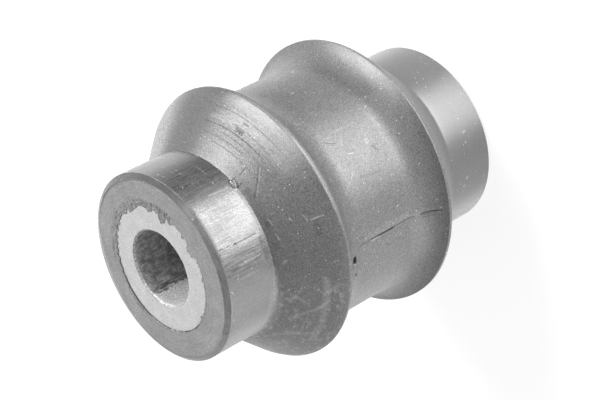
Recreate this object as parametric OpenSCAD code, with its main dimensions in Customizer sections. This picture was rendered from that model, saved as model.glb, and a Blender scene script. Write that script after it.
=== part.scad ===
// Shock absorber bushing: a thick steel sleeve inside a moulded rubber spool.
// The spool has two flared flanges, a saddle between them that sits in the shock
// absorber's eye, and a plain collar at each end. It stands on one end, sleeve
// upright, with the middle of its lower end face at the origin.

/* [Sleeve] */
// Bore for the mounting bolt, diameter
bore_d = 12; // [8:0.5:16]
// Wall of the steel tube
sleeve_wall = 4; // [2.5:0.25:6]
// Length of the sleeve, end face to end face
sleeve_len = 56; // [52:1:80]
// Chamfer at each mouth of the bore
mouth_chamfer = 0.3; // [0.1:0.05:0.5]

/* [Collars] */
// Rubber over the sleeve at the end collars
collar_wall = 5; // [3.5:0.5:8]
// Width of the trimmed bevel on each end face
bevel_w = 1.1; // [0.4:0.1:1.6]
// Depth of that bevel along the axis
bevel_h = 0.5; // [0.2:0.1:1]
// Fillet between a collar and its flange
root_r = 1.5; // [0.5:0.25:3]

/* [Saddle and flanges] */
// Height of the saddle floor above the collars
saddle_rise = 4; // [1:0.5:6]
// Height of the flange crests above the saddle floor
crest_rise = 3; // [1.5:0.25:4]
// Width of the saddle between the crests
saddle_w = 21; // [18:0.5:26]
// Radius that sweeps the saddle floor up to each crest
sweep_r = 7.7; // [5:0.1:9]
// Width of the narrow land on each crest
crest_land = 0.5; // [0.2:0.1:1]
// Length of each flange's outer cone, along the axis
flare_len = 8; // [5:0.5:10]

/* [Moulding flash] */
// Thickness of the rubber skin that laps over the sleeve's end faces
skin_t = 0.1; // [0.05:0.05:0.2]
// Reach of that skin's deepest torn tooth, inwards from the torn edge
tooth_reach = 1.8; // [0.6:0.1:1.8]
// How far the torn edge has drawn back from the sleeve between the teeth
draw_back = 0.15; // [0.05:0.05:0.3]
// Height of the mould's parting ridge along the saddle
ridge_h = 0.15; // [0.05:0.05:0.3]
// Width of that ridge
ridge_w = 0.5; // [0.3:0.1:1]
// Direction of the mould's parting plane round the axis
parting_angle = -123; // [-180:1:180]

/* [Hidden] */
$fn = 120;
bore_r = bore_d / 2;
sleeve_r = bore_r + sleeve_wall;
collar_r = sleeve_r + collar_wall;
saddle_r = collar_r + saddle_rise;
crest_r = saddle_r + crest_rise;
total_len = sleeve_len + 2 * skin_t;
mid_z = total_len / 2;
// Lower crest: its inner edge, its outer edge, and the root of its cone
crest_z = mid_z - saddle_w / 2;
land_z = crest_z - crest_land;
root_z = land_z - flare_len;
// The sweep's centre stands over the saddle floor, so that its arc ends on the crest
sweep_z = crest_z + sqrt(sweep_r ^ 2 - (sweep_r - crest_rise) ^ 2);
// Slope of the cone, and how far the root fillet reaches along both of its sides
cone_slope = atan2(flare_len, crest_r - collar_r);
root_reach = root_r / tan((90 + cone_slope) / 2);
// Overshoot of the cuts, and of each half outline past the middle
over = 1;
// Torn teeth of the skin: direction, share of the full reach, half width in degrees
teeth = [
    [204, 0.2, 2], [244, 0.3, 3], [268, 0.7, 3], [273, 0.75, 3], [285, 0.4, 3],
    [302, 0.55, 4], [313, 1, 4], [320, 0.4, 3], [329, 0.55, 5], [356, 0.4, 6], [7, 0.35, 4]
];
// The far end's skin tore in the same way, turned by this much
far_end_turn = 140;

// Copies a half profile to the other end
module both_ends() {
    children();
    translate([0, total_len]) mirror([0, 1]) children();
}

// The tube's wall on one side of its axis, with a chamfer at each mouth of the bore
module sleeve_outline() {
    difference() {
        translate([bore_r, skin_t]) square([sleeve_wall, sleeve_len]);
        both_ends() translate([bore_r, skin_t]) polygon([[0, 0], [mouth_chamfer, 0], [0, mouth_chamfer]]);
    }
}

// Space that the sleeve takes up inside the rubber
module sleeve_space() {
    translate([0, skin_t]) square([sleeve_r, sleeve_len]);
}

// Half of the rubber's outline before the saddle is cut: collar, bevel and cone
module spool_profile() {
    polygon([
        [0, 0],
        [collar_r - bevel_w, 0],
        [collar_r, bevel_h],
        [collar_r, root_z],
        [crest_r, land_z],
        [crest_r, mid_z + over],
        [0, mid_z + over]
    ]);
}

// Rubber that fills the corner between collar and cone, under a round fillet
module root_fillet() {
    centre = [collar_r + root_r, root_z - root_reach];
    difference() {
        polygon([
            [collar_r - over, centre[1]],
            centre,
            [collar_r + root_reach * cos(cone_slope), root_z + root_reach * sin(cone_slope)],
            [collar_r - over, root_z + over]
        ]);
        translate(centre) circle(root_r);
    }
}

// Half of the cut that leaves the saddle: a flat floor swept up to the crest.
// It leaves a skin of the given height on the floor and the sweep.
module saddle_cut(proud = 0) {
    centre = [saddle_r + sweep_r, sweep_z];
    floor_r = saddle_r + proud;
    translate([floor_r, centre[1]]) square([crest_rise + over, mid_z - centre[1] + over]);
    intersection() {
        translate(centre) circle(sweep_r - proud);
        translate([floor_r, crest_z - over]) square([crest_rise + over, centre[1] - crest_z + over]);
    }
}

// One torn tooth of skin, a jagged spike that points at the axis
module tooth(share, half_width) {
    base_r = sleeve_r + draw_back + over;
    tip_r = sleeve_r + draw_back - share * tooth_reach;
    shoulder_r = (tip_r + sleeve_r) / 2;
    polygon([
        base_r * [cos(half_width), -sin(half_width)],
        shoulder_r * [cos(half_width / 2), -sin(half_width / 2)],
        [tip_r, 0],
        shoulder_r * [cos(half_width / 3), sin(half_width / 3)],
        base_r * [cos(half_width), sin(half_width)]
    ]);
}

// Area from which the skin over the sleeve's end face has torn away
module torn_area() {
    difference() {
        circle(sleeve_r + draw_back);
        for (t = teeth) rotate(t[0]) tooth(t[1], t[2]);
    }
}

// Thin ridges where the two halves of the mould met, along both sides of the saddle
module parting_ridges() {
    rotate(parting_angle) intersection() {
        rotate_extrude() difference() {
            translate([saddle_r - over, crest_z]) square([crest_rise + over, saddle_w]);
            both_ends() saddle_cut(ridge_h);
        }
        translate([-crest_r, -ridge_w / 2, 0]) cube([2 * crest_r, ridge_w, total_len]);
    }
}

// Steel tube that the bolt clamps between the bracket's ears
module inner_sleeve() {
    color("silver") rotate_extrude() sleeve_outline();
}

// Moulded rubber spool, bonded to the sleeve
module rubber_body() {
    color("dimgray") difference() {
        union() {
            rotate_extrude() difference() {
                both_ends() {
                    spool_profile();
                    root_fillet();
                }
                both_ends() saddle_cut();
                sleeve_space();
            }
            parting_ridges();
        }
        translate([0, 0, total_len - skin_t]) linear_extrude(skin_t + over) torn_area();
        translate([0, 0, -over]) linear_extrude(skin_t + over) rotate(far_end_turn) torn_area();
    }
}

inner_sleeve();
rubber_body();
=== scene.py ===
import math

import bpy
import numpy as np
from mathutils import Matrix, Vector, noise


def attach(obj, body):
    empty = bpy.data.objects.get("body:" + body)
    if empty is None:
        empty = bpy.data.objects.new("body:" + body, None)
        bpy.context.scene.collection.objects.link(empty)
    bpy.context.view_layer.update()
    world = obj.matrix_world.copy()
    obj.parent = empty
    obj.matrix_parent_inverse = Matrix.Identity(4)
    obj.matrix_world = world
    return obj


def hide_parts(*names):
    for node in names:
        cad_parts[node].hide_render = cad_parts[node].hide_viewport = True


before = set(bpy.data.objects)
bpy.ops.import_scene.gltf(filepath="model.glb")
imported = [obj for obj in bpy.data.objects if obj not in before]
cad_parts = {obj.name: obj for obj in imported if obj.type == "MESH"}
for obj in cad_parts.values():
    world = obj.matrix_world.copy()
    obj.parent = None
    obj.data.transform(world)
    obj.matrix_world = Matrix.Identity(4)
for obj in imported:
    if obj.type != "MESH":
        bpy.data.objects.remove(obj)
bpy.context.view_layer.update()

bpy.context.scene.view_settings.view_transform = "Standard"

# A long lens looks down on the bushing's near end from 36 degrees above the table, and is
# rolled over, because the bushing stands upright here and lay on its side there. Comments on
# its surface say over the top and low down as it lay.
MM = 0.001
CAMERA_PLACE = Vector((-0.5, -229.5, 194.2)) * MM
CAMERA_PITCH = 54.1
CAMERA_ROLL = -117.54

bpy.ops.object.camera_add()
camera = bpy.context.object
camera.name = "camera"
camera.data.sensor_width = 36
camera.data.lens = 109.7
camera.data.clip_start = 0.01
camera.data.clip_end = 20
camera.matrix_world = (
    Matrix.Translation(CAMERA_PLACE)
    @ Matrix.Rotation(math.radians(CAMERA_PITCH), 4, "X")
    @ Matrix.Rotation(math.radians(CAMERA_ROLL), 4, "Z")
)
bpy.context.scene.camera = camera


# The floor is the white, lit top of a studio's light table. It glows as a plain white
# ground, keeps the bushing's shadow, and lets the lamp under it through.
def fill_sockets(tree, made, sockets):
    """Gives a node's sockets their values, or links other sockets to them."""
    for key, value in sockets.items():
        if isinstance(value, bpy.types.NodeSocket):
            tree.links.new(value, made.inputs[key])
        else:
            made.inputs[key].default_value = value


def node(tree, kind, sockets=None, **settings):
    """Adds a shader node, with its settings, and values or links for its sockets."""
    made = tree.nodes.new("ShaderNode" + kind)
    for name, value in settings.items():
        setattr(made, name, value)
    fill_sockets(tree, made, sockets or {})
    return made


def calc(tree, operation, *values, clamp=False):
    """One step of arithmetic on numbers and sockets."""
    made = node(tree, "Math", dict(enumerate(values)), operation=operation, use_clamp=clamp)
    return made.outputs[0]


def grey(level):
    return (level, level, level, 1)


def seen_directly(tree):
    """1 for what the camera sees, straight on or in gloss or glass; otherwise 0."""
    path = node(tree, "LightPath")
    seen = calc(tree, "MAXIMUM", path.outputs["Is Camera Ray"], path.outputs["Is Glossy Ray"])
    return calc(tree, "MAXIMUM", seen, path.outputs["Is Transmission Ray"])


def empty_material(name):
    material = bpy.data.materials.new(name)
    material.use_nodes = True
    material.node_tree.nodes.clear()
    return material, material.node_tree


bpy.ops.object.select_all(action="DESELECT")
bpy.ops.mesh.primitive_plane_add(size=6)
table = bpy.context.object
table.name = "light_table"
table_white, tree = empty_material("light_table")
paper = node(tree, "BsdfDiffuse", {"Color": grey(0.3)})
glow = node(tree, "Emission", {"Color": grey(1), "Strength": 0.82})
lit_paper = node(tree, "AddShader", {0: paper.outputs[0], 1: glow.outputs[0]})
plain_paper = node(tree, "BsdfDiffuse", {"Color": grey(0.8)})
ground = node(tree, "MixShader", {
    0: seen_directly(tree), 1: plain_paper.outputs[0], 2: lit_paper.outputs[0],
})
node(tree, "OutputMaterial", {"Surface": ground.outputs[0]})
table.data.materials.append(table_white)
table.visible_shadow = False

# The studio's light: a long strip lamp under the table in front of the upright bushing, a
# square softbox above on its right, weaker lamps on its left and behind, and a white room.
LAMP_DISTANCE = 600
TARGET = Vector((0, 0, 28.1)) * MM
LAMPS = [
    # name, direction from the bushing, direction of the long side, sides, power
    ("strip_lamp", (0.1725, -0.8366, -0.5079), (0.6946, 0.1347, 0), (600, 150), 3.7),
    ("softbox", (0.7237, -0.1157, 0.6759), (0.1157, 0.7237, 0), (360, 360), 4.8),
    ("fill_lamp", (-0.944, -0.255, -0.182), (-0.255, 0.944, 0), (520, 520), 1.3),
    ("edge_lamp", (-0.64, 0.5, -0.585), (0.5, 0.64, 0), (300, 300), 0.16),
    ("rim_lamp", (0.52, 0.8, -0.3), (0.8, -0.52, 0), (600, 600), 0.4),
]
for name, toward, along, sides, power in LAMPS:
    bpy.ops.object.light_add(type="AREA")
    lamp = bpy.context.object
    lamp.name = name
    lamp.data.shape = "RECTANGLE"
    lamp.data.size, lamp.data.size_y = (side * MM for side in sides)
    lamp.data.energy = power
    lamp.data.cycles.use_multiple_importance_sampling = False
    lamp.visible_camera = False
    back = Vector(toward).normalized()
    across = Vector(along) - back * back.dot(Vector(along))
    across.normalize()
    turned = Matrix((across, back.cross(across), back)).transposed().to_4x4()
    lamp.matrix_world = Matrix.Translation(TARGET + back * LAMP_DISTANCE * MM) @ turned

# Dark cards hang over the bushing, stand on its right and lie beside it, so that its gloss
# has dark sides to it. The camera doesn't see them, and only gloss shows them.
CARDS = [
    # name, middle, the way that it faces, sides
    ("ceiling_card", (0, 60, 480), (0, 0, -1), (800, 800)),
    ("side_card", (130, -60, 40), (-1, 0, 0), (260, 130)),
    ("side_sheet", (95, -89, 1), (0, 0, 1), (202, 80)),
]
card_black, tree = empty_material("dark_card")
card_paper = node(tree, "BsdfDiffuse", {"Color": grey(0.03)})
node(tree, "OutputMaterial", {"Surface": card_paper.outputs[0]})
for name, middle, facing, sides in CARDS:
    bpy.ops.object.select_all(action="DESELECT")
    bpy.ops.mesh.primitive_plane_add(size=MM)
    card = bpy.context.object
    card.name = name
    card.data.transform(Matrix.Diagonal((sides[1], sides[0], 1, 1)))
    upright = "X" if facing[2] else "Y"
    card.data.transform(Vector(facing).to_track_quat("Z", upright).to_matrix().to_4x4())
    card.data.transform(Matrix.Translation(Vector(middle) * MM))
    card.data.materials.append(card_black)
    for ray in ("camera", "diffuse", "shadow", "transmission"):
        setattr(card, "visible_" + ray, False)

world = bpy.data.worlds.new("white_room")
bpy.context.scene.world = world
world.use_nodes = True
tree = world.node_tree
tree.nodes.clear()
seen = node(tree, "Background", {"Color": grey(1), "Strength": 1})
room = node(tree, "Background", {"Color": grey(0.5), "Strength": 1})
air = node(tree, "MixShader", {0: seen_directly(tree), 1: room.outputs[0], 2: seen.outputs[0]})
node(tree, "OutputWorld", {"Surface": air.outputs[0]})


# The inner sleeve: a thick steel tube, cut to length and blasted, with a small chamfer
# turned by hand at each mouth of the bore. It is a turned outline.
SLEEVE = "inner_sleeve"
BORE_R, SLEEVE_R = 6, 10
END_Z, FAR_END_Z, MIDDLE = 56.1, 0.1, 28.1
MERGE_WITHIN = 0.004 * MM


def turned_piece(name, outline, steps):
    """Turns an outline of (radius, height) points in millimetres round the upright axis."""
    points = [Vector((0, r, z)) * MM for r, z in outline]
    bpy.ops.object.select_all(action="DESELECT")
    bpy.ops.mesh.primitive_plane_add(size=MM)
    piece = bpy.context.object
    piece.name = piece.data.name = name
    bpy.ops.object.mode_set(mode="EDIT")
    bpy.ops.mesh.select_all(action="SELECT")
    bpy.ops.transform.translate(value=points[0])
    bpy.ops.mesh.merge(type="CENTER")
    for before, after in zip(points, points[1:]):
        bpy.ops.mesh.extrude_vertices_move(TRANSFORM_OT_translate={"value": after - before})
    bpy.ops.mesh.select_all(action="SELECT")
    bpy.ops.mesh.remove_doubles(threshold=MERGE_WITHIN)
    bpy.ops.object.mode_set(mode="OBJECT")
    bpy.ops.object.modifier_add(type="SCREW")
    turning = piece.modifiers[-1]
    turning.steps = turning.render_steps = steps
    turning.use_merge_vertices = True
    turning.merge_threshold = MERGE_WITHIN
    bpy.ops.object.modifier_apply(modifier=turning.name)
    bpy.ops.object.mode_set(mode="EDIT")
    bpy.ops.mesh.select_all(action="SELECT")
    bpy.ops.mesh.normals_make_consistent(inside=False)
    bpy.ops.object.mode_set(mode="OBJECT")
    return piece


def places(piece):
    """A piece's points in millimetres, with their turn from the front, radius and height."""
    flat = np.zeros(len(piece.data.vertices) * 3)
    piece.data.vertices.foreach_get("co", flat)
    x, y, z = flat.reshape(-1, 3).T / MM
    return np.degrees(np.arctan2(x, -y)), np.hypot(x, y), z


def drawn_to_front(turn):
    """Draws a turned piece's even steps together on the side that faces the camera."""
    return np.interp(turn, (-180, -131, 131, 180), (-180, -110, 110, 180))


def put_places(piece, turn, radius, height):
    angle = np.radians(turn)
    flat = np.stack([radius * np.sin(angle), -radius * np.cos(angle), height], 1) * MM
    piece.data.vertices.foreach_set("co", flat.ravel())
    piece.data.update()


def ripple(turn, radius, height, size, seed):
    """Smooth noise of about -1 to 1 over a piece, with lumps of the given size in mm."""
    angle = np.radians(turn)
    spots = np.stack([radius * np.sin(angle), -radius * np.cos(angle), height], 1) / size
    return np.array([noise.noise(Vector(spot) + Vector((seed, 0, 0))) for spot in spots])


def ripple_round(turn, radius, size, seed):
    """Smooth noise of about -1 to 1 round a ring, the same all the way up."""
    return ripple(turn, 0 * turn + radius, 0 * turn, size, seed)


def shade_smooth(piece, sharpest):
    """Shades a piece smooth, apart from the edges that turn by more than the given angle."""
    chosen = {"object": piece, "selected_objects": [piece], "selected_editable_objects": [piece]}
    with bpy.context.temp_override(**chosen):
        bpy.ops.object.shade_smooth_by_angle(angle=math.radians(sharpest))


# Corners of the tube's rim and of the bore's mouth: radius, and depth below the end face
rim = [(SLEEVE_R, 0.12), (9.97, 0.03), (9.9, 0)]
mouth = [(6.3, 0), (6.24, 0.02), (6.19, 0.06), (6.14, 0.11), (6.09, 0.17), (6.04, 0.25), (BORE_R, 0.4)]
sleeve_outline = [(r, END_Z - depth) for r, depth in rim]
sleeve_outline += [(r, END_Z) for r in np.arange(9.6, 6.5, -0.3)]
sleeve_outline += [(r, END_Z - depth) for r, depth in mouth]
sleeve_outline += [(BORE_R, z) for z in np.arange(54.6, 1, -1.0)]
sleeve_outline += [(r, FAR_END_Z + depth) for r, depth in reversed(mouth)]
sleeve_outline.append((8, FAR_END_Z))
sleeve_outline += [(r, FAR_END_Z + depth) for r, depth in reversed(rim)]
sleeve_outline.append(sleeve_outline[0])
sleeve = turned_piece(SLEEVE + "_steel", sleeve_outline, steps=320)

# The chamfers wander a little, because they were turned by hand
turn, radius, height = places(sleeve)
at_mouth = (radius < 6.35) & (abs(height - MIDDLE) > 27)
wander = ripple_round(turn, BORE_R, size=1.6, seed=3.0)
wander = wander + 0.5 * ripple_round(turn, BORE_R, size=0.6, seed=9.0)
radius = radius + at_mouth * (radius - BORE_R) * wander * 0.45
put_places(sleeve, turn, radius, height)
shade_smooth(sleeve, 35)


def new_group(name, inputs, outputs):
    """A shader node group with the given inputs {name: default} and output names."""
    group = bpy.data.node_groups.new(name, "ShaderNodeTree")
    for key, value in inputs.items():
        kind = "NodeSocketVector" if value is None else "NodeSocketFloat"
        socket = group.interface.new_socket(name=key, in_out="INPUT", socket_type=kind)
        if value is not None:
            socket.default_value = value
    for key in outputs:
        group.interface.new_socket(name=key, in_out="OUTPUT", socket_type="NodeSocketFloat")
    given = group.nodes.new("NodeGroupInput").outputs
    put = group.nodes.new("NodeGroupOutput").inputs
    return group, given, put


def placed(tree, group, sockets):
    """Places a node group in a material."""
    made = tree.nodes.new("ShaderNodeGroup")
    made.node_tree = group
    fill_sockets(tree, made, sockets)
    return made.outputs


def ramp(tree, value, low, high, to_low=0.0, to_high=1.0):
    """Eases a number from one range to another."""
    sockets = {"Value": value, "From Min": low, "From Max": high, "To Min": to_low, "To Max": to_high}
    return node(tree, "MapRange", sockets, interpolation_type="SMOOTHSTEP").outputs["Result"]


def blend_greys(tree, share, first, second):
    """Mixes two grey levels, or a grey socket and a level, by a mask."""
    return calc(tree, "ADD", first, calc(tree, "MULTIPLY", share, calc(tree, "SUBTRACT", second, first)))


def as_colour(tree, level):
    return node(tree, "CombineColor", {"Red": level, "Green": level, "Blue": level}).outputs[0]


def times(tree, *masks):
    product = masks[0]
    for mask in masks[1:]:
        product = calc(tree, "MULTIPLY", product, mask)
    return product


def plus(tree, *levels):
    total = levels[0]
    for level in levels[1:]:
        total = calc(tree, "ADD", total, level)
    return total


def weighted(tree, start, *parts):
    """A start, plus each (level, weight) part."""
    total = start
    for level, weight in parts:
        total = calc(tree, "MULTIPLY_ADD", level, weight, total)
    return total


# Where a point is on a turned piece: turn from the front in degrees, radius and height in mm
turned_place, given, put = new_group("turned_place", {"Place": None}, ["Turn", "Radius", "Height"])
xyz = node(turned_place, "SeparateXYZ", {0: given["Place"]}).outputs
x_mm, y_mm, z_mm = (times(turned_place, xyz[k], 1000.0) for k in range(3))
angle = calc(turned_place, "ARCTAN2", x_mm, times(turned_place, y_mm, -1.0))
square = plus(turned_place, times(turned_place, x_mm, x_mm), times(turned_place, y_mm, y_mm))
turned_place.links.new(calc(turned_place, "DEGREES", angle), put["Turn"])
turned_place.links.new(calc(turned_place, "SQRT", square), put["Radius"])
turned_place.links.new(z_mm, put["Height"])

# One mark on a turned piece: a band of a given length, width and lean, soft at its edges
mark, given, put = new_group(
    "mark",
    {"Turn": 0.0, "Radius": 1.0, "Height": 0.0, "At turn": 0.0, "At height": 0.0,
     "Lean": 0.0, "Length": 1.0, "Width": 0.2, "Edge": 0.1},
    ["Mask"],
)
turn_past = calc(mark, "RADIANS", calc(mark, "SUBTRACT", given["Turn"], given["At turn"]))
arc = times(mark, turn_past, given["Radius"])
rise = calc(mark, "SUBTRACT", given["Height"], given["At height"])
lean = calc(mark, "RADIANS", given["Lean"])
lean_sin, lean_cos = calc(mark, "SINE", lean), calc(mark, "COSINE", lean)
along = plus(mark, times(mark, arc, lean_sin), times(mark, rise, lean_cos))
aside = calc(mark, "SUBTRACT", times(mark, arc, lean_cos), times(mark, rise, lean_sin))
sides = []
for distance, size in ((along, "Length"), (aside, "Width")):
    limit = times(mark, given[size], 0.5)
    over = calc(mark, "SUBTRACT", calc(mark, "ABSOLUTE", distance), limit)
    sides.append(ramp(mark, over, given["Edge"], 0.0))
mark.links.new(times(mark, *sides), put["Mask"])

# Round specks scattered over a surface: dust, pits or blast marks
specks, given, put = new_group(
    "specks", {"Place": None, "Per mm": 1.0, "Share": 0.2, "Size": 0.2, "Edge": 0.1}, ["Mask"],
)
per_metre = times(specks, given["Per mm"], 1000.0)
cells = node(specks, "TexVoronoi", {"Vector": given["Place"], "Scale": per_metre})
faded_at = plus(specks, given["Size"], given["Edge"])
dot = ramp(specks, cells.outputs["Distance"], faded_at, given["Size"])
chance = node(specks, "SeparateColor", {0: cells.outputs["Color"]}).outputs[0]
picked = calc(specks, "LESS_THAN", chance, given["Share"])
specks.links.new(times(specks, dot, picked), put["Mask"])

# Cloudy mottling, which can be drawn out along the axis, as tools and flow leave it
mottle, given, put = new_group(
    "mottle", {"Place": None, "Lump": 1.0, "Detail": 3.0, "Drawn": 1.0}, ["Level"],
)
shrunk = calc(mottle, "DIVIDE", 1.0, given["Drawn"])
squeeze = node(mottle, "CombineXYZ", {0: 1.0, 1: 1.0, 2: shrunk}).outputs[0]
drawn = node(mottle, "VectorMath", {0: given["Place"], 1: squeeze}, operation="MULTIPLY").outputs[0]
per_metre = calc(mottle, "DIVIDE", 1000.0, given["Lump"])
cloud = node(mottle, "TexNoise", {"Vector": drawn, "Scale": per_metre, "Detail": given["Detail"]})
mottle.links.new(cloud.outputs[0], put["Level"])


def mottled(tree, place, lump, detail, drawn=1.0):
    """A level of mottling with lumps of the given size in mm, about 0.5 on average."""
    sockets = {"Place": place, "Lump": lump, "Detail": detail, "Drawn": drawn}
    return placed(tree, mottle, sockets)["Level"]


def scattered(tree, place, per_mm, share, size, edge):
    """A mask of specks. Their size and soft edge are shares of the space between them."""
    sockets = {"Place": place, "Per mm": per_mm, "Share": share, "Size": size, "Edge": edge}
    return placed(tree, specks, sockets)["Mask"]


blasted_steel, tree = empty_material("blasted_steel")
here = node(tree, "TexCoord").outputs["Object"]
spot = placed(tree, turned_place, {"Place": here})
turn_at, radius_at = spot["Turn"], spot["Radius"]
fine = mottled(tree, here, lump=0.17, detail=1.0)
broad = mottled(tree, here, lump=1.6, detail=3.0)
stain = mottled(tree, here, lump=0.75, detail=5.0, drawn=1.3)
rim_grit = mottled(tree, here, lump=0.32, detail=2.0)
drawn_lines = mottled(tree, here, lump=0.3, detail=3.0, drawn=9.0)
pits = scattered(tree, here, per_mm=1.6, share=0.12, size=0.16, edge=0.14)
glints = scattered(tree, here, per_mm=2.4, share=0.22, size=0.14, edge=0.16)
in_bore = ramp(tree, radius_at, 6.1, 6.02)
at_edge = times(tree, ramp(tree, radius_at, 6.32, 6.26), ramp(tree, radius_at, 6.01, 6.05))

# The blasted end face, with its glints and pits, and the duller rim of the bore
face = times(tree, ramp(tree, fine, 0.3, 0.7, 0.66, 0.92), ramp(tree, broad, 0.3, 0.7, 0.96, 1.04))
face = weighted(tree, face, (glints, 0.16))
face = blend_greys(tree, times(tree, pits, 0.5), face, 0.42)
face = blend_greys(tree, at_edge, face, ramp(tree, rim_grit, 0.36, 0.64, 0.3, 0.6))

# The bore's wall: stained, with a lighter strip low down that is a painted patch of light falling into the
# bore, and dark scores beside it
wall = ramp(tree, stain, 0.34, 0.66, 0.27, 0.5)
wall = times(tree, wall, ramp(tree, drawn_lines, 0.36, 0.64, 1.12, 0.9))
wobbly_turn = weighted(tree, calc(tree, "SUBTRACT", turn_at, 11.0), (stain, 22.0))
# A painted patch of light on the bore's wall, low down
painted_light_patch = times(tree, ramp(tree, wobbly_turn, -151.0, -148.0), ramp(tree, turn_at, -40.0, -75.0))
wall = blend_greys(tree, painted_light_patch, wall, 0.66)
scored = times(
    tree,
    ramp(tree, wobbly_turn, -162.0, -158.0),
    ramp(tree, wobbly_turn, -149.0, -152.0),
    ramp(tree, drawn_lines, 0.35, 0.6),
)
wall = blend_greys(tree, scored, wall, 0.12)
wall = times(tree, wall, ramp(tree, fine, 0.25, 0.75, 0.6, 1.4))

BUMP_DEPTH = 0.03 * MM
grit = plus(tree, times(tree, fine, 0.7), times(tree, pits, -0.5))
bump = node(tree, "Bump", {"Height": grit, "Strength": 0.25, "Distance": BUMP_DEPTH})
shader = node(tree, "BsdfPrincipled", {
    "Base Color": as_colour(tree, blend_greys(tree, in_bore, face, wall)),
    "Metallic": ramp(tree, radius_at, 6.02, 6.2, 0.6, 1.0),
    "Roughness": weighted(tree, ramp(tree, fine, 0.3, 0.7, 0.44, 0.64), (at_edge, 0.14)),
    "Normal": bump.outputs[0],
})
node(tree, "OutputMaterial", {"Surface": shader.outputs[0]})
sleeve.data.materials.clear()
sleeve.data.materials.append(blasted_steel)
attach(sleeve, "root")
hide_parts(SLEEVE)

# The rubber body: one moulding of black rubber, bonded to the sleeve. Its flash was torn
# off round the steel and its end edges were trimmed by hand, so both are uneven.
BODY = "rubber_body"
TOP = 56.2
ROOT_Z, CREST_Z = 47.1, 38.6
COLLAR_R, SADDLE_R, CREST_R = 15, 19, 22
CONE_LEN = 8

# The arcs of the root's fillet and of the saddle's sweep: radius, height of the centre, and
# the angle in degrees where the arc meets the cone or the crest
FILLET_R, FILLET_Z, FILLET_END = 1.5, 47.66, 221.2
SWEEP_R, SWEEP_Z, SWEEP_START = 6.8, 32.96, 126

# The torn edge, the end of the skin that moves with it and the bevel's inner edge, where they
# are on the outline before it is torn and trimmed
LIP_R, SKIN_R, BEVEL_R = 10.13, 11.4, 13.9


def arc_points(centre, size, start, end, steps):
    """Points of an arc round a centre, past its first one."""
    turns = [math.radians(start + (end - start) * k / steps) for k in range(1, steps + 1)]
    return [(centre[0] + size * math.cos(a), centre[1] + size * math.sin(a)) for a in turns]


def end_of_spool(fine):
    """Half of the outline, from the sleeve over the end face, collar and cone to the saddle,
    as (radius, height). The photographed end has the finer steps."""
    skin = [(SLEEVE_R, 55.5), (10.03, 55.75), (10.1, 56.0), (LIP_R, 56.1), (10.15, 56.17), (10.2, TOP)]
    if fine:
        face_radii = [10.28, 10.38, 10.5, 10.62, 10.76, 10.9, 11.05, 11.2]
        face_radii += [SKIN_R, 11.7, 12.1, 12.6, 13.1, 13.5, 13.8]
        bevel = [(13.87, TOP), (BEVEL_R, 56.19), (13.95, 56.165), (14.2, 56.06)]
        bevel += [(14.55, 55.9), (14.85, 55.765), (14.975, 55.705), (COLLAR_R, 55.66)]
        crest = [(21.98, 39.1), (CREST_R, 39.0), (CREST_R, CREST_Z), (21.9, 38.42)]
        collar_step, fillet_steps, cone_steps, sweep_steps = 0.55, 7, 13, 16
    else:
        face_radii = [10.4, 10.7, 11.2, 12.2, 13.2, 13.8]
        bevel = [(BEVEL_R, TOP), (13.97, 56.165), (14.5, 55.925), (COLLAR_R, 55.66)]
        crest = [(CREST_R, 39.05), (CREST_R, CREST_Z)]
        collar_step, fillet_steps, cone_steps, sweep_steps = 1.1, 5, 8, 13
    fillet_centre = (COLLAR_R + FILLET_R, FILLET_Z)
    sweep_centre = (SADDLE_R + SWEEP_R, SWEEP_Z)
    points = skin + [(r, TOP) for r in face_radii] + bevel
    points += [(COLLAR_R, z) for z in np.arange(55.2, 47.8, -collar_step)]
    points += [(COLLAR_R, FILLET_Z)]
    points += arc_points(fillet_centre, FILLET_R, 180, FILLET_END, fillet_steps)
    foot, lip = np.array(points[-1]), np.array((21.93, 39.18))
    points += [tuple(foot + (lip - foot) * k / cone_steps) for k in range(1, cone_steps + 1)]
    return points + crest + arc_points(sweep_centre, SWEEP_R, SWEEP_START, 180, sweep_steps)


body_outline = end_of_spool(True)
body_outline += [(SADDLE_R, z) for z in np.arange(32.5, 23.6, -0.45)]
body_outline += [(r, TOP - z) for r, z in reversed(end_of_spool(False))]
body_outline.append(body_outline[0])
body = turned_piece(BODY + "_moulding", body_outline, steps=550)

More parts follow.
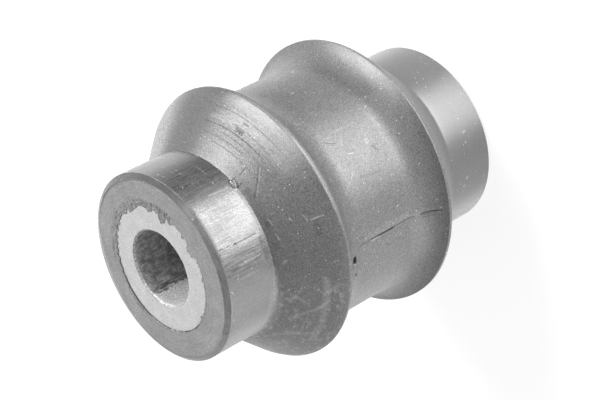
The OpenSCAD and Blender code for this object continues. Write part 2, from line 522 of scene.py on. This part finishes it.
# Where the skin tore round the steel: turn from the front, and radius of the torn edge
TORN_EDGE = [
    (-98, 10.2), (-90, 10.0), (-84, 10.1), (-80, 10.18), (-71, 10.1), (-70, 9.85), (-69, 10.08),
    (-68, 10.03), (-67, 9.56), (-65, 9.6), (-63, 9.88), (-61, 10.07), (-58, 10.15), (-57, 9.86),
    (-54, 9.86), (-52, 10.02), (-43, 10.15), (-40, 9.88), (-37, 10.1), (-36, 9.98), (-33, 9.98),
    (-31, 9.8), (-29, 10.02), (-27.6, 10.0), (-27, 9.56), (-25, 9.64), (-23, 9.86), (-21, 10.04),
    (-14, 10.06), (-13, 9.82), (-12, 10.06), (-11, 10.04), (-10, 9.7), (-8, 10.04), (-5, 10.12),
    (-4.2, 9.0), (-3, 8.86), (-2, 8.96), (1, 9.0), (2.7, 8.66), (4, 8.88), (6, 9.08), (7, 9.58),
    (10, 9.86), (12, 9.96), (14, 9.52), (16, 9.34), (17, 9.92), (18, 10.14), (22, 9.92),
    (26, 10.12), (29, 9.96), (30, 9.56), (32, 9.16), (34, 9.3), (36, 9.68), (38.3, 9.82),
    (39, 8.76), (41, 8.6), (43, 8.26), (44, 8.16), (45, 8.52), (47, 8.76), (48, 9.64), (50, 9.44),
    (53, 9.84), (55, 9.84), (57, 9.36), (61, 9.14), (63, 9.36), (64, 9.74), (68, 9.8), (69, 10.08),
    (71, 9.9), (75, 10.0), (78, 9.78), (84, 9.48), (90, 9.3), (91, 9.42), (92, 9.86), (94, 9.98),
    (95, 9.7), (98, 9.56), (102, 9.84), (108, 10.06), (110, 9.8), (113, 9.98), (118, 9.6),
    (121, 10.1), (125, 9.5), (128, 10.04), (133, 9.55), (136, 10.1), (140, 9.6), (143, 10.1),
    (147, 9.66), (150, 10.1), (155, 9.65), (158, 10.1), (164, 9.78), (168, 10.12), (172, 9.88),
    (178, 10.14), (200, 10.2), (230, 10.2), (237, 10.2), (240, 9.95), (243, 10.15), (248, 9.9),
    (251, 10.15), (256, 9.95), (259, 10.2),
]

# Where the knife left the inner edge of the trimmed bevel: turn, and radius
TRIMMED_EDGE = [
    (-98, 14.4), (-90, 14.4), (-62, 14.38), (-59.5, 14.45), (-59, 14.15), (-52, 14.2), (-45, 14.1),
    (-30, 13.85), (-15, 13.95), (0, 14.05), (15, 14.3), (25, 14.1), (35, 13.75), (50, 13.55),
    (60, 13.6), (70, 13.85), (80, 14.1), (90, 14.15), (110, 14.3), (130, 14.2), (150, 13.7),
    (160, 13.4), (175, 13.6), (200, 14.0), (230, 14.3),
]


def round_the_axis(turn, corners):
    """Reads a list of (turn, value) corners that goes once round the axis."""
    turns, values = zip(*corners)
    start = turns[0]
    turns, values = turns + (turns[0] + 360,), values + (values[0],)
    return np.interp((turn - start) % 360 + start, turns, values)


def eased(value, low, high):
    share = np.clip((value - low) / (high - low), 0, 1)
    return share * share * (3 - 2 * share)


def near(value, low, high, edge):
    """1 between two limits, easing to 0 outside them."""
    return eased(value, low - edge, low) * (1 - eased(value, high, high + edge))


# Both ends are shaped alike: up is a point's height when its own end is on top. The far end's
# skin was torn and its bevel trimmed in the near end's way, turned by these degrees.
FAR_TEAR_TURN, FAR_BEVEL_TURN = 140, 200
turn, radius, height = places(body)
turn = drawn_to_front(turn)
far_end = height < MIDDLE
up = np.where(far_end, TOP - height, height)
way_round = np.where(far_end, turn + FAR_TEAR_TURN, turn)

# The torn skin: its edge wanders in over the steel, and a coarse band lies round it
torn = round_the_axis(way_round, TORN_EDGE)
ragged = near(way_round, -98, 170, 5)
torn = torn + 0.14 * ripple_round(way_round, SLEEVE_R, size=0.36, seed=4.0) * ragged
torn = torn + 0.09 * ripple_round(way_round, SLEEVE_R, size=0.42, seed=8.0)
on_skin = (radius < SKIN_R - 0.01) & (up > 55.99)
share = (radius - LIP_R) / (SKIN_R - LIP_R)
spread = torn + (SKIN_R - torn) * np.clip(share, 0, 1) ** 1.25
radius = np.where(on_skin, np.where(share > 0, spread, torn + 0.02 * share), radius)
low_lip = (radius < 10.6) & (up > 55.6) & (up < 56.0)
radius = np.where(low_lip, radius + np.maximum(torn - 10.15, 0) * 0.9, radius)
coarse = near(way_round, 34, 152, 6) * near(radius, 9.6, 10.9, 0.25)
coarse = coarse + 0.35 * near(way_round, -95, 34, 5) * near(radius, 9.9, 10.25, 0.2)
pitted = np.clip(ripple(turn, radius, height, size=0.32, seed=7.0) + 0.35, 0, 1)
deepest = np.where(radius > 10.12, 0.17, 0.05)
drop = np.where(up > 56.15, deepest * coarse * pitted, 0)

# The bevel: trimmed by knife, so its inner edge wanders
edge = round_the_axis(turn + far_end * FAR_BEVEL_TURN, TRIMMED_EDGE)
edge = edge + 0.05 * ripple_round(turn, 14, size=1.3, seed=2.0)
face_share = (radius - SKIN_R) / (BEVEL_R - SKIN_R)
bevel_share = (radius - BEVEL_R) / (COLLAR_R - BEVEL_R)
on_face = SKIN_R + (edge - SKIN_R) * face_share
on_bevel = edge + (COLLAR_R - edge) * bevel_share
bevelled = (radius > SKIN_R) & (up > 55.6)
radius = np.where(bevelled, np.where(radius < BEVEL_R, on_face, on_bevel), radius)
up = up - drop

# The root: a sharp corner with a crease over the top, easing to a fillet underneath
sharp = near(turn, -26, 100, 9)
at_root = (up > 45.5) & (up < 48.2) & (radius < 17.5)
widening = (CREST_R - COLLAR_R) / CONE_LEN
along_cone = np.clip((ROOT_Z - up) * widening + COLLAR_R, COLLAR_R, CREST_R)
creased = COLLAR_R - np.where(far_end, 0.02, 0.04) * eased(up, 47.7, ROOT_Z)
filled = np.where(up > ROOT_Z - 0.05, creased, np.maximum(along_cone - 0.05, 14.9))
radius = np.where(at_root, radius + sharp * (np.minimum(filled, radius) - radius), radius)

# The crest: its land widens towards the saddle's highlight and runs out to an edge below
wide = near(turn, 2, 42, 30)
on_crest = (up > 38.5) & (up < 39.5) & (radius > 21.85) & ~far_end
up = up + np.where(on_crest & (up > 38.9), 0.25 * wide - 0.22 * (1 - wide), 0)

# The mould's parting line from the far crest to the near sweep: a thin raised lip beside a
# crack that opens in places
saddle = (radius < 21.9) & (height > 17.7) & (height < 38)
line_share = eased(height, 17.9, 19.0) * (1 - eased(height, 35.0, 37.0))
on_floor = 0 * turn + SADDLE_R
CRACK_TURN = -33.6
crack_turn = CRACK_TURN + 0.35 * ripple(turn, on_floor, height, size=2.2, seed=5.0)
crack_depth = 0.03
for low, high, fade, depth in ((23.0, 33.6, 0.8, 0.2), (26.2, 31.0, 0.6, 0.25), (18.2, 20.6, 0.5, 0.35)):
    crack_depth = crack_depth + depth * near(height, low, high, fade)
crack_depth = crack_depth * (0.75 + 0.5 * ripple(0 * turn, on_floor, height, size=0.9, seed=12.0))
crack = 1 - eased(abs(turn - crack_turn), 0.12, 0.62)
raised = near(turn - crack_turn, 0.9, 2.0, 1.4)
radius = radius + np.where(saddle, line_share * (0.09 * raised - crack * crack_depth), 0)

# A chip and a pit beside the near crest: place, half width in degrees, half height and depth
CHIP_AT, PIT_AT = (-38.8, 35.5), (-47.3, 34.9)
for place, half_turn, half_height, depth in ((CHIP_AT, 1.9, 0.45, 1.3), (PIT_AT, 0.7, 0.3, 0.6)):
    apart = np.hypot((turn - place[0]) / half_turn, (height - place[1]) / half_height)
    radius = radius - np.where(saddle, depth * (1 - eased(apart, 0.5, 1.3)), 0)

# A torn flap of flash at the near collar's root
FLAP_TURN = 23.0
flap = (1 - eased(abs(turn - FLAP_TURN), 0.8, 3.8)) * near(up, 46.95, 47.3, 0.3) * ~far_end
radius = radius + 0.4 * flap * (1 + 0.3 * ripple(turn, radius, height, size=1.1, seed=21.0))

up = np.minimum(up, TOP)
height = np.where(far_end, TOP - up, up)
put_places(body, turn, radius, height)
past_tear = body.data.attributes.new("past_tear", "FLOAT", "POINT")
NOT_TORN = 9.0
distances = np.where(on_skin & ~far_end, radius - torn, NOT_TORN)
past_tear.data.foreach_set("value", distances.astype(np.float32))
shade_smooth(body, 30)

# Mottling drawn out round the axis, as a lathe's tool or a wiping hand leaves it
combed, given, put = new_group(
    "combed", {"Turn": 0.0, "Height": 0.0, "Radius": 1.0, "Lump": 0.2, "Drawn": 12.0}, ["Level"],
)
swing = calc(combed, "RADIANS", given["Turn"])
stretch = calc(combed, "DIVIDE", 18.0, times(combed, given["Lump"], given["Drawn"]))
slant = calc(combed, "SUBTRACT", given["Height"], given["Radius"])
ring = node(combed, "CombineXYZ", {
    0: times(combed, calc(combed, "COSINE", swing), stretch),
    1: times(combed, calc(combed, "SINE", swing), stretch),
    2: calc(combed, "DIVIDE", slant, given["Lump"]),
}).outputs[0]
lines = node(combed, "TexNoise", {"Vector": ring, "Scale": 1.0, "Detail": 2.0})
combed.links.new(lines.outputs[0], put["Level"])

# Handling marks, with painted shade and painted highlights along the near root among them: turn, height,
# lean from upright, length, width, soft edge, and tone, where 1 is pale and -1 is dark
COLLAR_MARKS = [
    (-6.8, 52.4, 0, 0.3, 0.3, 0.12, -1.2), (-6.1, 53.6, 8, 0.5, 0.12, 0.08, -0.9),
    (-6.0, 55.0, 0, 0.7, 0.14, 0.08, -0.9), (-6.9, 50.3, 0, 3.6, 0.1, 0.1, -0.8),
    (-8.6, 49.9, 0, 3.8, 0.3, 0.3, 0.5), (-18.4, 51.0, 3, 3.6, 0.12, 0.12, 0.6),
    (-15.8, 50.0, 4, 2.6, 0.1, 0.1, 0.6), (-13.2, 51.6, 0, 3.8, 0.1, 0.1, -0.6),
    (-20.0, 51.5, 0, 5.0, 0.14, 0.1, -0.7), (23.6, 50.0, 2, 3.6, 0.16, 0.12, 0.5),
    (25.6, 50.5, 0, 5.0, 0.2, 0.3, -0.5), (41.0, 49.3, 90, 2.4, 0.08, 0.08, 0.5),
    (-30.8, 55.2, 50, 0.5, 0.14, 0.06, 1.3), (29.5, 49.7, 0, 0.12, 0.12, 0.1, 1.2),
    (50.0, 52.8, 30, 0.3, 0.1, 0.1, 0.9), (-25.0, 53.8, 0, 0.15, 0.12, 0.1, 1.0),
    # The dark band at turn -16 along the root is painted shade in the corner
    (-26.0, 51.5, 0, 3.6, 0.1, 0.15, 0.35), (-16.0, 48.0, 90, 3.4, 0.5, 0.2, -0.9),
    # The pale band at turn -62 along the root's fillet is a painted highlight
    (-62.0, 47.9, 90, 9.0, 0.5, 0.5, 0.3),
]
CONE_MARKS = [
    (16.0, 45.0, -55, 4.2, 0.1, 0.1, -0.9), (15.6, 44.8, -55, 3.8, 0.05, 0.08, 0.35),
    (25.2, 45.5, -12, 1.0, 0.12, 0.08, -1.0), (40.2, 42.55, 90, 1.5, 0.3, 0.15, -1.3),
    (39.5, 41.5, 90, 1.1, 0.08, 0.12, -1.3), (42.0, 43.0, 90, 13.0, 0.05, 0.1, -1.0),
    (33.0, 43.6, 90, 9.0, 0.04, 0.08, -0.6), (40.0, 41.05, 90, 14.0, 0.05, 0.1, -1.0),
    (47.0, 40.6, 90, 8.0, 0.04, 0.08, -0.6), (22.0, 41.65, 90, 1.0, 0.12, 0.15, -0.9),
    (34.0, 42.2, 90, 8.0, 0.05, 0.1, -0.8), (52.0, 42.2, 90, 5.0, 0.3, 0.2, 0.35),
    (-5.5, 46.15, 80, 0.9, 0.12, 0.1, 1.3), (-13.0, 45.8, 70, 1.0, 0.1, 0.1, 0.8),
    (-27.8, 46.0, -40, 0.7, 0.14, 0.1, 0.9), (-7.2, 43.95, 0, 0.1, 0.12, 0.1, 1.3),
    (-10.9, 41.2, 0, 1.5, 0.1, 0.1, 0.9), (-14.8, 41.5, 90, 2.0, 0.3, 0.3, -0.7),
    (-7.6, 42.0, 35, 1.2, 0.1, 0.2, -0.9), (-9.5, 42.4, 70, 1.0, 0.07, 0.1, 0.7),
    (-58.0, 41.45, 88, 14.0, 0.3, 0.5, 0.5), (-58.0, 43.4, -45, 4.2, 0.1, 0.3, 0.5),
    (-66.0, 43.1, 88, 4.6, 0.05, 0.15, 0.45), (-49.5, 44.6, 40, 2.6, 0.1, 0.35, 0.45),
    (-44.0, 41.0, -50, 2.4, 0.14, 0.4, 0.4), (-76.0, 43.4, -38, 4.6, 0.12, 0.35, 0.5),
    (-53.0, 41.9, -60, 3.0, 0.1, 0.3, 0.45), (-1.5, 43.2, -50, 0.8, 0.2, 0.2, -0.5),
    # The dark bands along the root at turns 5 and -12 are painted shade in the corner
    (20.4, 46.8, 0, 0.8, 0.14, 0.08, -1.4), (5.0, 46.4, 90, 6.0, 0.5, 0.5, -0.7),
    (-12.0, 46.3, 90, 4.0, 0.4, 0.4, -0.6), (30.0, 44.9, 90, 12.0, 0.05, 0.08, -0.6),
    # The pale band at turn -62 along the root's fillet is a painted highlight
    (44.0, 44.2, 90, 8.0, 0.05, 0.08, -0.6), (-62.0, 46.8, 90, 9.0, 0.7, 0.5, 0.4),
]
SADDLE_MARKS = [
    (15.2, 32.2, 22, 2.6, 0.1, 0.08, -1.0), (15.7, 32.4, 22, 2.4, 0.06, 0.06, 0.9),
    (29.6, 34.3, 38, 0.9, 0.12, 0.1, 0.9), (26.0, 33.8, 60, 1.6, 0.1, 0.12, -0.6),
    (6.6, 29.8, 30, 0.9, 0.12, 0.1, 1.0), (-10.6, 24.5, 18, 0.8, 0.08, 0.06, 1.0),
    (-11.1, 24.4, 18, 0.5, 0.08, 0.08, -1.0), (-5.2, 32.6, -38, 3.6, 0.05, 0.1, 0.45),
    (8.2, 25.9, 0, 0.5, 0.6, 0.25, 0.6), (3.8, 25.3, 60, 1.6, 0.25, 0.25, -0.5),
    (48.0, 29.4, 0, 0.6, 0.16, 0.16, 0.7), (6.2, 21.9, 0, 1.4, 0.06, 0.08, -0.6),
    (66.5, 23.6, -45, 1.6, 0.14, 0.15, 0.8), (67.0, 26.5, -20, 3.0, 0.1, 0.2, 0.35),
    (26.6, 21.1, 0, 0.14, 0.14, 0.1, 1.1), (22.0, 22.4, -40, 0.5, 0.1, 0.1, 0.9),
    (12.4, 22.4, 0, 0.2, 0.12, 0.1, 0.8), (18.6, 29.2, 0, 2.0, 0.06, 0.1, 0.4),
    (-31.0, 28.0, 0, 9.0, 0.5, 0.4, 0.25), (-5.6, 28.0, 3, 3.6, 0.1, 0.2, -0.35),
    (-21.0, 5.2, 90, 1.4, 0.4, 0.3, -0.6), (-13.0, 5.0, 0, 0.6, 0.5, 0.25, -0.6),
    (-44.5, 6.5, 30, 0.3, 0.25, 0.2, 0.8), (-39.5, 5.8, 20, 0.3, 0.25, 0.2, 0.8),
    (-17.3, 5.0, 0, 0.2, 0.2, 0.2, 0.8), (-11.0, 4.7, -20, 0.5, 0.2, 0.2, 0.8),
]

# Painted shade in the crack down the parting line, in the chip and in the pit: turn, height, length,
# width and tone
SADDLE_CRACK_SHADE = [
    (CRACK_TURN, 28.9, 4.4, 0.16, -1.4), (CRACK_TURN, 24.4, 4.4, 0.1, -1.0),
    (CRACK_TURN, 19.9, 2.4, 0.12, -1.2), (CRACK_TURN, 32.6, 2.6, 0.08, -0.8),
    (CRACK_TURN - 2, 19.6, 2.6, 0.08, -0.7), (*CHIP_AT, 0.7, 0.5, -1.6), (*PIT_AT, 0.35, 0.3, -1.5),
]


def band_of(tree, value, low, high, edge):
    """1 between two limits, easing to 0 past them."""
    return times(tree, ramp(tree, value, low - edge, low), ramp(tree, value, high + edge, high))


def swing_of(tree, noise_level, strength):
    """A noise level as a swing about zero."""
    return times(tree, calc(tree, "SUBTRACT", noise_level, 0.5), strength)


def rubber_finish(name, marks, crack_shade):
    """The rubber's material, with the marks and the painted shade of crack, chip and pit that one part of
    the moulding has.
    """
    material, tree = empty_material(name)
    here = node(tree, "TexCoord").outputs["Object"]
    spot = placed(tree, turned_place, {"Place": here})
    turn_at, radius_at, height_at = spot["Turn"], spot["Radius"], spot["Height"]
    straight = {"Turn": turn_at, "Height": height_at, "Radius": radius_at}

    # The parts of the moulding, as masks, most of them by distance from its middle
    from_middle = calc(tree, "ABSOLUTE", calc(tree, "SUBTRACT", height_at, MIDDLE))
    far_half = ramp(tree, height_at, 17.5, 14.0)
    on_end = ramp(tree, from_middle, 27.4, 27.6)
    on_bevel = times(tree, on_end, ramp(tree, radius_at, 13.8, 14.1))
    on_collar = band_of(tree, from_middle, 19.2, 27.4, 0.2)
    near_collar = times(tree, on_collar, ramp(tree, height_at, 25.0, 35.0))
    far_collar = times(tree, on_collar, far_half)
    on_cone = band_of(tree, from_middle, 11.0, 19.0, 0.4)
    on_saddle = ramp(tree, from_middle, 11.0, 10.2)

    grain = mottled(tree, here, lump=0.16, detail=1.0)
    coarse_grain = mottled(tree, here, lump=0.9, detail=3.0)
    clouds = mottled(tree, here, lump=4.5, detail=3.0)
    upright_lines = mottled(tree, here, lump=0.22, detail=2.0, drawn=14.0)
    round_lines = placed(tree, combed, {**straight, "Lump": 0.16, "Drawn": 26.0})["Level"]
    dust = scattered(tree, here, per_mm=1.5, share=0.2, size=0.1, edge=0.08)

    # Slanting marks wander a little, and all of them are broken up, as worn rubber takes them
    shake = mottled(tree, here, lump=2.6, detail=1.0)
    break_up = ramp(tree, mottled(tree, here, lump=0.34, detail=2.0), 0.34, 0.5, 0.25, 1.0)
    shaken = {
        "Height": plus(tree, height_at, swing_of(tree, shake, 0.8)),
        "Turn": plus(tree, turn_at, swing_of(tree, shake, -2.6)),
        "Radius": radius_at,
    }
    marks_tone_with_painted_light = 0.0
    for at_turn, at_height, lean, length, width, edge, tone in marks:
        place = straight if lean in (0, 90) else shaken
        mask = placed(tree, mark, {
            **place, "At turn": at_turn, "At height": at_height,
            "Lean": lean, "Length": length, "Width": width, "Edge": edge,
        })["Mask"]
        marks_tone_with_painted_light = weighted(tree, marks_tone_with_painted_light, (mask, tone))
    marks_tone_with_painted_light = times(tree, marks_tone_with_painted_light, break_up)
    # Painted shade in the crack, the chip and the pit, not broken up
    for at_turn, at_height, length, width, tone in crack_shade:
        mask = placed(tree, mark, {
            **straight, "At turn": at_turn, "At height": at_height,
            "Length": length, "Width": width, "Edge": 0.14,
        })["Mask"]
        marks_tone_with_painted_light = weighted(tree, marks_tone_with_painted_light, (mask, tone))

    # Streaks and grain swing about zero, and each is strong in its own places
    dragged = times(tree, near_collar, band_of(tree, turn_at, -21, -7.5, 1.5))
    cut_by_tool = times(tree, band_of(tree, turn_at, 16, 62, 8), band_of(tree, height_at, 40.4, 44.2, 0.6))
    lathed = times(tree, on_cone, cut_by_tool)
    upright_share = weighted(
        tree, 0.12, (dragged, 2.6), (near_collar, 0.75), (far_collar, 0.25), (on_cone, 0.3),
    )
    round_share = weighted(tree, 0.1, (lathed, 2.3), (near_collar, 0.4), (on_end, 0.9))
    grain_share = weighted(
        tree, 0.9, (on_cone, 0.2), (on_saddle, 0.15), (on_end, -0.4), (near_collar, -0.35),
    )
    grain_share = times(tree, grain_share, weighted(tree, 1.0, (far_half, -0.6)))
    speckle = times(tree, swing_of(tree, ramp(tree, grain, 0.3, 0.7), 1.0), grain_share)
    streaks = times(tree, swing_of(tree, upright_lines, 1.0), upright_share)
    swings = plus(
        tree,
        times(tree, swing_of(tree, coarse_grain, 0.35), weighted(tree, 1.0, (lathed, 1.6))),
        swing_of(tree, clouds, 0.35),
        times(tree, swing_of(tree, clouds, 0.6), on_end),
        streaks,
        times(tree, swing_of(tree, round_lines, 1.0), round_share),
    )

    # The coarse band round the tear, and a dark line along its edge, which is painted shade in the gap
    # between skin and steel
    to_either_side = calc(tree, "ABSOLUTE", turn_at)
    band_share = plus(tree, band_of(tree, turn_at, 36, 146, 8), ramp(tree, to_either_side, 146.0, 154.0))
    band_end = ramp(tree, turn_at, 58.0, 72.0, 10.9, 10.35)
    in_band = times(tree, on_end, band_share, calc(tree, "LESS_THAN", radius_at, band_end))
    torn_band = times(tree, in_band, ramp(tree, mottled(tree, here, lump=0.42, detail=2.0), 0.42, 0.56))
    past_tear_at = node(tree, "Attribute", attribute_name="past_tear").outputs["Fac"]
    tear_share = weighted(tree, 0.4, (ramp(tree, to_either_side, 140.0, 150.0), 0.8))
    painted_tear_shade = times(tree, on_end, ramp(tree, past_tear_at, 0.26, 0.08), tear_share, break_up)
    torn_band_and_gap_shade = calc(tree, "MAXIMUM", times(tree, torn_band, 0.7), painted_tear_shade)
    # Darker: dark marks, the painted shade in the crack, chip, pit and along the root, the torn band, and
    # the painted shade along the tear
    dark_marks_and_painted_shade = calc(tree, "SUBTRACT", calc(tree, "MINIMUM", marks_tone_with_painted_light, 0.0), torn_band_and_gap_shade)

    # The rubber's grey, where each part is laid over those before it
    base = 0.072
    for mask, level in (
        (on_collar, 0.085),
        # The far collar is painted darker all round, as painted shade
        (far_collar, 0.052),
        # Painted shade: a darker band on the near collar over the top, between its highlight and its edge
        (times(tree, near_collar, band_of(tree, turn_at, 30, 54, 9)), 0.06),
        # Painted shade: a darker band on the cones over the top
        (times(tree, on_cone, band_of(tree, turn_at, 62, 78, 9)), 0.036),
        (on_end, 0.19),
        (on_bevel, 0.15),
        # Painted shade: the bevel darker over the top
        (times(tree, on_bevel, band_of(tree, turn_at, 30, 110, 20)), 0.075),
    ):
        base = blend_greys(tree, mask, base, level)
    unevenness = calc(tree, "MAXIMUM", plus(tree, 1.0, swings, speckle), 0.25)
    base = times(tree, base, unevenness, weighted(tree, 1.0, (dark_marks_and_painted_shade, 0.6)))

    # Paler places: the near cone lighter below its crest over the top, a painted highlight on the far
    # sweep, a painted reflection streaked along the cones from over the top round the back, scuffs low on
    # the near cone, pale marks and dust
    near_crest = times(tree, on_cone, band_of(tree, height_at, 39.0, 41.4, 1.8))
    near_crest = times(tree, near_crest, band_of(tree, turn_at, 18, 46, 14))
    # A painted highlight on the far sweep
    painted_far_sweep_highlight = times(tree, band_of(tree, turn_at, 24, 50, 14), band_of(tree, height_at, 17.8, 20.0, 1.8))
    # A painted reflection along the cones' edge over the top and round the back, streaked
    painted_edge_reflection = times(tree, on_cone, ramp(tree, turn_at, 84.0, 96.0), ramp(tree, upright_lines, 0.35, 0.6))
    lighter_and_painted_highlights = weighted(tree, near_crest, (painted_edge_reflection, 2.0), (painted_far_sweep_highlight, 0.3))
    smears = mottled(tree, here, lump=1.1, detail=5.0, drawn=0.6)
    scuffed = times(
        tree, on_cone, ramp(tree, height_at, 30.0, 38.0), band_of(tree, turn_at, -100, -48, 14),
        ramp(tree, smears, 0.53, 0.66),
    )
    pale_marks_and_highlights = calc(tree, "MAXIMUM", marks_tone_with_painted_light, 0.0)
    base = weighted(tree, base, (pale_marks_and_highlights, 0.17), (dust, 0.3), (lighter_and_painted_highlights, 0.09), (scuffed, 0.09))

    # Roughness, and the thin gloss of the mould's skin as a coat
    collar_swings = times(tree, near_collar, swings)
    rough = 0.47
    for mask, level in ((on_collar, 0.35), (on_saddle, 0.45), (far_collar, 0.34), (on_end, 0.34)):
        rough = blend_greys(tree, mask, rough, level)
    rough = plus(tree, rough, swing_of(tree, clouds, 0.1))
    rough = weighted(tree, rough, (swings, 0.2), (collar_swings, 0.35), (dust, 0.3), (dark_marks_and_painted_shade, -0.25))
    rough = calc(tree, "MAXIMUM", rough, 0.3)
    coat = weighted(tree, 0.3, (speckle, 0.75), (collar_swings, 1.1))
    coat = times(tree, coat, weighted(tree, 1.0, (near_collar, -0.35)))
    coat = calc(tree, "MAXIMUM", weighted(tree, coat, (far_collar, 0.5)), 0.0, clamp=True)

    relief = weighted(tree, swings, (streaks, -0.7), (speckle, 0.25), (dust, 0.2), (marks_tone_with_painted_light, 0.6))
    bump = node(tree, "Bump", {"Height": relief, "Strength": 0.5, "Distance": BUMP_DEPTH})
    shader = node(tree, "BsdfPrincipled", {
        "Base Color": as_colour(tree, base),
        "IOR": 1.6,
        "Specular IOR Level": 0.85,
        "Coat Weight": coat,
        "Coat Roughness": 0.4,
        "Roughness": rough,
        "Normal": bump.outputs[0],
    })
    node(tree, "OutputMaterial", {"Surface": shader.outputs[0]})
    return material


# The finish is laid on in three parts, each with its own marks. The near cone's part starts
# at one height, and the near collar's at the other.
CONE_FROM, COLLAR_FROM = 39.3, 47.4
body.data.materials.clear()
for part, marks, crack_shade in (
    ("saddle", SADDLE_MARKS, SADDLE_CRACK_SHADE),
    ("cone", CONE_MARKS, []),
    ("collar", COLLAR_MARKS, []),
):
    body.data.materials.append(rubber_finish("rubber_" + part, marks, crack_shade))
middles = np.zeros(len(body.data.polygons) * 3)
body.data.polygons.foreach_get("center", middles)
face_height = middles[2::3] / MM
part_of = (face_height > CONE_FROM).astype(int) + (face_height > COLLAR_FROM)
body.data.polygons.foreach_set("material_index", part_of.astype(np.int32))
body.data.update()
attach(body, "root")
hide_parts(BODY)
